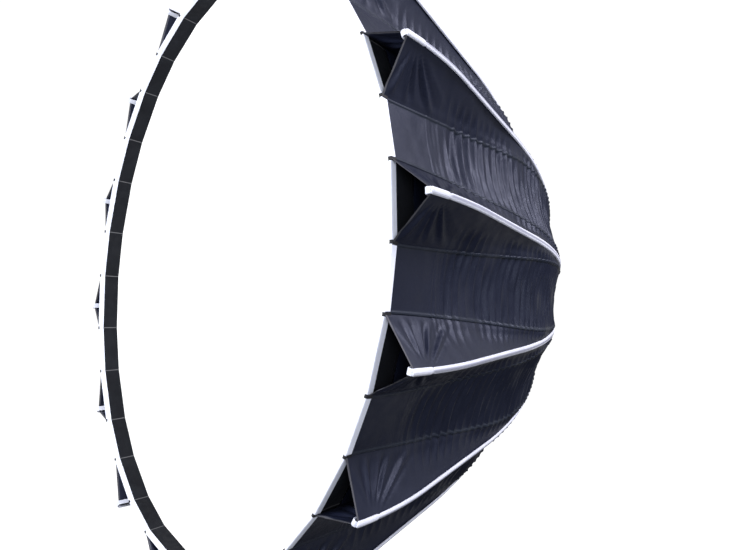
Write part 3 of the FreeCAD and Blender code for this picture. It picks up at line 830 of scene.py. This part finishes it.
# --- Rib webbing, tip pocket and rod sleeve ---
STRAP_ROWS = np.unique(np.round(np.concatenate([
    [-0.004, -0.0035, -0.0025, -0.001],
    np.arange(0.001, 0.075, 0.0022),
    np.arange(0.075, RIB_LENGTH - 0.024, 0.006),
]), 5))
STRAP_HALF_WIDTH = 0.0071
STRAP_HEIGHT = 0.0030
POCKET_END = 0.055
STRAP_BEND = 0.0036


def strap_rings():
    """The strap over the ridge: wider and thicker at the tip pocket, with a notch behind it."""
    s = STRAP_ROWS[:, None]
    radius, depth, heading = rib_at(s)
    slope = np.arctan2(tent_drop(depth), tent_half_width(depth))
    pocket = 1 - smooth(POCKET_END - 0.004, POCKET_END + 0.002, s)
    notch = np.exp(-(((s - POCKET_END - 0.005) / 0.0028) ** 2))
    rounded = np.sqrt(np.clip((s + 0.0043) / 0.004, 0.05, 1))
    half = (STRAP_HALF_WIDTH + 0.0010 * pocket - 0.0010 * notch) * rounded
    height = (STRAP_HEIGHT + 0.0006 * pocket - 0.0014 * notch) * rounded
    u = np.linspace(-1, 1, 15)[None, :]
    fine = np.linspace(0, 1, 41)[None, 1:]
    fall, out = [], []
    for share in np.abs(u[0]):
        lean = slope * np.tanh(fine * share * half / STRAP_BEND)
        fall.append(np.sin(lean).mean(axis=1, keepdims=True) * share * half)
        out.append(np.cos(lean).mean(axis=1, keepdims=True) * share * half)
    fall, out = np.concatenate(fall, axis=1), np.concatenate(out, axis=1)
    lean = slope * np.tanh(np.abs(u) * half / STRAP_BEND)
    crown = height * np.clip(1 - u**4, 0, 1) ** 0.5 + 0.0004
    faces = []
    for lift in (crown, 0 * crown - 0.0006):
        x = radius - fall + lift * np.cos(lean) * np.cos(heading)
        y = RIM_Y + depth + lift * np.cos(lean) * np.sin(heading)
        faces.append(np.stack([x, y, np.sign(u) * (out + lift * np.sin(lean))], axis=-1))
    rings = np.concatenate([faces[0], faces[1][:, ::-1]], axis=1)
    across = np.concatenate([u + 0 * s, u[:, ::-1] + 0 * s], axis=1)
    return rings, across, s + 0 * across


def at_inset(s, inset):
    """Point of a rib's plane at distance s, moved inwards from the rib line."""
    radius, depth, heading = rib_at(np.asarray(s, float))
    return radius - inset * np.cos(heading), RIM_Y + depth - inset * np.sin(heading)


TURN_INSET = 0.0082
TURN_RADIUS = 0.0066
LOOP_HALF_WIDTH = 0.0068
LOOP_THICKNESS = 0.0014


def tip_loop_rings():
    """The band that folds round the rod's end, from under the strap to behind the rod."""
    line = [(0.010, TURN_INSET - TURN_RADIUS), (0.005, TURN_INSET - TURN_RADIUS)]
    for turn in np.linspace(0, math.pi, 9):
        line.append((0.0015 - TURN_RADIUS * math.sin(turn), TURN_INSET - TURN_RADIUS * math.cos(turn)))
    line += [(s, TURN_INSET + TURN_RADIUS) for s in (0.006, 0.012, 0.018, 0.024, 0.030)]
    line = np.array(line)
    normal = line_normals(line) * LOOP_THICKNESS / 2
    edges = np.array([-1.0, -0.8, 0.8, 1.0])
    rings = []
    for point, step in zip(line, normal):
        ring = []
        for sign, order in ((1, edges), (-1, edges[::-1])):
            for edge in order:
                s, inset = point + sign * step * (0.35 if abs(edge) == 1 else 1.0)
                ring.append((*at_inset(s, inset), edge * LOOP_HALF_WIDTH))
        rings.append(ring)
    return np.array(rings)


SLEEVE_ROWS = np.concatenate([[0.034, 0.036], np.arange(0.045, RIB_LENGTH - 0.06, 0.02)])
SLEEVE_RADIUS = 0.0044
SLEEVE_SIDES = 16


def sleeve_rings():
    """The black sleeve that the rod runs in, drawn up to the ridge where it is sewn on."""
    rings = []
    for s in SLEEVE_ROWS:
        ring = []
        for step in range(SLEEVE_SIDES):
            turn = 2 * math.pi * step / SLEEVE_SIDES
            inset = ROD_INSET - SLEEVE_RADIUS * math.cos(turn)
            across = SLEEVE_RADIUS * math.sin(turn)
            if step == 0:
                inset = 0.0012
            elif step in (1, SLEEVE_SIDES - 1):
                inset, across = ROD_INSET - 0.0052, across * 0.5
            ring.append((*at_inset(s, inset), across))
        rings.append(ring)
    return np.array(rings)


def rib_webbing(index):
    """The white strap along one rib with its tip pocket, and the rod's black sleeve under it."""
    strap, across, along = strap_rings()
    loop = tip_loop_rings()
    sleeve = sleeve_rings()
    shapes = ((strap, 0), (loop, 0), (sleeve, 1))
    parts = [(*tube_part(placed(rings, index)), material) for rings, material in shapes]
    rest = (loop.size + sleeve.size) // 3
    attributes = {
        "across": np.concatenate([across.ravel(), np.full(rest, 0.6)]),
        "along": np.concatenate([along.ravel(), np.zeros(rest)]),
    }
    materials = [WHITE_WEBBING, BLACK_TAPE]
    ribbed(joined_object(f"rib_webbing_{index + 1:02d}", parts, materials, attributes), index)


# --- Front diffuser and its strip ---
def outline_reach(corner_radius, turns):
    """Radius of the 32-sided outline in each direction."""
    from_rib = (turns - PITCH / 2) % PITCH
    from_rib = np.minimum(from_rib, PITCH - from_rib)
    tent_flat = corner_radius * math.cos(CORNER_ANGLE) / np.cos(from_rib)
    valley_flat = corner_radius * math.cos(MID_VALLEY - CORNER_ANGLE) / np.cos(MID_VALLEY - from_rib)
    return np.where(from_rib <= CORNER_ANGLE, tent_flat, valley_flat)


def outline_turns():
    """Directions round the outline, with one at each corner."""
    turns = []
    for index in range(RIBS):
        for start, end, count in ((-CORNER_ANGLE, CORNER_ANGLE, 5), (CORNER_ANGLE, PITCH - CORNER_ANGLE, 4)):
            turns += list(rib_angle(index) + np.linspace(start, end, count, endpoint=False))
    return np.array(turns)


def lip_inside(depth):
    """Corner radius that clears the lip's inner face."""
    return LIP_RIM_RADIUS - LIP_THICKNESS - LIP_SLOPE * depth - DIFFUSER_GAP


HEM_WIDTH = 0.020
DIFFUSER_RINGS = np.concatenate([[0.02], np.linspace(0.08, 0.955, 26)])
HEM_STEPS = np.array([21.2, 20.0, 18.5, 12.0, 5.0, 3.8, 2.6, 0.8, 0.0]) * MM


def diffuser():
    """The white front: one flat sheet with a turned and stitched hem."""
    turns = outline_turns()
    reach = outline_reach(lip_inside(DIFFUSER_DEPTH + DIFFUSER_THICKNESS), turns)
    edge = float(reach.max())
    shares = np.concatenate([DIFFUSER_RINGS, 1 - HEM_STEPS / edge])
    distance = (1 - shares[:, None]) * edge
    raised = 1 - smooth(HEM_WIDTH - 0.001, HEM_WIDTH + 0.001, distance)
    pulled = np.sin(turns * RIBS * 2 + 1.0)[None, :] + 0.6 * np.sin(turns * RIBS * 5 + 2.2)[None, :]
    pulls = 0.0005 * pulled * np.exp(-distance / 0.05) * (1 - raised)
    radius = shares[:, None] * reach[None, :]
    layers = []
    for depth, sign in ((DIFFUSER_DEPTH, 1), (DIFFUSER_DEPTH + 0.0012, -0.3)):
        y = RIM_Y + depth - sign * (0.0004 * raised + pulls)
        layers.append(np.stack([radius * np.cos(turns), y, radius * np.sin(turns)], axis=-1))
    vertices, faces = tube_part(np.concatenate([layers[0], layers[1][::-1]], axis=0))
    stitch = np.exp(-(((distance - HEM_WIDTH + 0.0015) / 0.0012) ** 2)) * np.ones_like(reach)[None, :]
    attributes = {"stitch": np.concatenate([stitch, stitch[::-1]], axis=0)}
    piece = new_object("diffuser_sheet", vertices, faces, [DIFFUSION_CLOTH], attributes=attributes)
    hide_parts("front_diffuser")
    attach(piece, "diffuser")


def loop_strip():
    """The pile strip behind the diffuser's edge."""
    turns = outline_turns()
    depths = np.linspace(*STRIP_DEPTHS, 8)
    walls = []
    for inset, order in ((0.0002, depths), (STRIP_THICKNESS, depths[::-1])):
        for depth in order:
            reach = outline_reach(lip_inside(depth) - inset, turns)
            y = np.full_like(reach, RIM_Y + depth)
            walls.append(np.stack([reach * np.cos(turns), y, reach * np.sin(turns)], axis=-1))
    rings = np.array(walls)
    rows, columns = rings.shape[:2]
    faces = grid_faces(rows + 1, columns, wrap=True) % (rows * columns)
    piece = new_object("loop_strip_pile", rings.reshape(-1, 3), faces, [LOOP_PILE])
    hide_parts("loop_strip")
    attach(piece, "diffuser")


def build():
    dress_cad_nodes()
    loop_strip()
    diffuser()
    for index in range(RIBS):
        canopy(index)
        lining(index)
        lip(index)
        rim_tape(index)
        rib_webbing(index)


# --- Studio ---
CAMERA_PLACE = Vector((2.3196, -2.0727, -0.0191))
CAMERA_LOOK = Vector((-0.82768, 0.56110, 0.01062))
CAMERA_UP = Vector((-0.04732, -0.08864, 0.99494))
CAMERA_LENS_MM = 51.59
FLOOR_Z = -1.6
LIGHT_AIM = Vector((0, -0.5, 0))


def camera():
    data = bpy.data.cameras.new("camera")
    data.lens = CAMERA_LENS_MM
    data.sensor_width = 36
    eye = bpy.data.objects.new("camera", data)
    right = CAMERA_LOOK.cross(CAMERA_UP).normalized()
    up = right.cross(CAMERA_LOOK).normalized()
    turn = Matrix((right, up, -CAMERA_LOOK.normalized())).transposed()
    eye.matrix_world = Matrix.Translation(CAMERA_PLACE) @ turn.to_4x4()
    bpy.context.scene.collection.objects.link(eye)
    bpy.context.scene.camera = eye


def area_light(name, place, size, watts, colour):
    data = bpy.data.lights.new(name, "AREA")
    data.shape = "DISK"
    data.size = size
    data.energy = watts
    data.color = colour
    lamp = bpy.data.objects.new(name, data)
    lamp.location = place
    lamp.rotation_euler = (LIGHT_AIM - Vector(place)).to_track_quat("-Z", "Y").to_euler()
    bpy.context.scene.collection.objects.link(lamp)


def soft_world():
    """A white backdrop, and soft light that is stronger from above than from below."""
    world = bpy.data.worlds.new("studio")
    world.use_nodes = True
    nodes, links = world.node_tree.nodes, world.node_tree.links
    backdrop = nodes["Background"]
    backdrop.inputs["Color"].default_value = (1, 1, 1, 1)
    backdrop.inputs["Strength"].default_value = 1.05
    light = nodes.new("ShaderNodeBackground")
    height = nodes.new("ShaderNodeSeparateXYZ")
    links.new(nodes.new("ShaderNodeTexCoord").outputs["Generated"], height.inputs[0])
    strength = nodes.new("ShaderNodeMapRange")
    for key, value in (("From Min", -1), ("From Max", 1), ("To Min", 0.18), ("To Max", 0.85)):
        strength.inputs[key].default_value = value
    links.new(height.outputs["Z"], strength.inputs["Value"])
    links.new(strength.outputs[0], light.inputs["Strength"])
    both = nodes.new("ShaderNodeMixShader")
    links.new(nodes.new("ShaderNodeLightPath").outputs["Is Camera Ray"], both.inputs[0])
    links.new(light.outputs[0], both.inputs[1])
    links.new(backdrop.outputs[0], both.inputs[2])
    links.new(both.outputs[0], nodes["World Output"].inputs["Surface"])
    return world


def studio():
    bpy.context.scene.world = soft_world()
    area_light("key", (2.6, 0.9, 3.2), 1.4, 230, (1.0, 0.96, 1.0))
    area_light("front", (0.5, -3.9, 0.5), 2.4, 145, (0.97, 0.98, 1.0))
    area_light("fill", (3.6, -2.6, 0.3), 1.6, 80, (0.94, 0.96, 1.0))
    bpy.ops.mesh.primitive_plane_add(size=60, location=(0, 0, FLOOR_Z))
    floor = bpy.context.object
    floor.name = "floor"
    floor.visible_diffuse = False
    floor.visible_glossy = False
    f = Finish("pale_floor", Roughness=0.9, Emission_Color=(1, 1, 1), Emission_Strength=0.5)
    f.drive("Base Color", f.mottled(0.8, (0.94, 0.94, 0.94), (0.92, 0.92, 0.92)))
    floor.data.materials.append(f.material)
    bpy.context.scene.view_settings.view_transform = "Standard"


build()
camera()
studio()

bpy.context.view_layer.update()
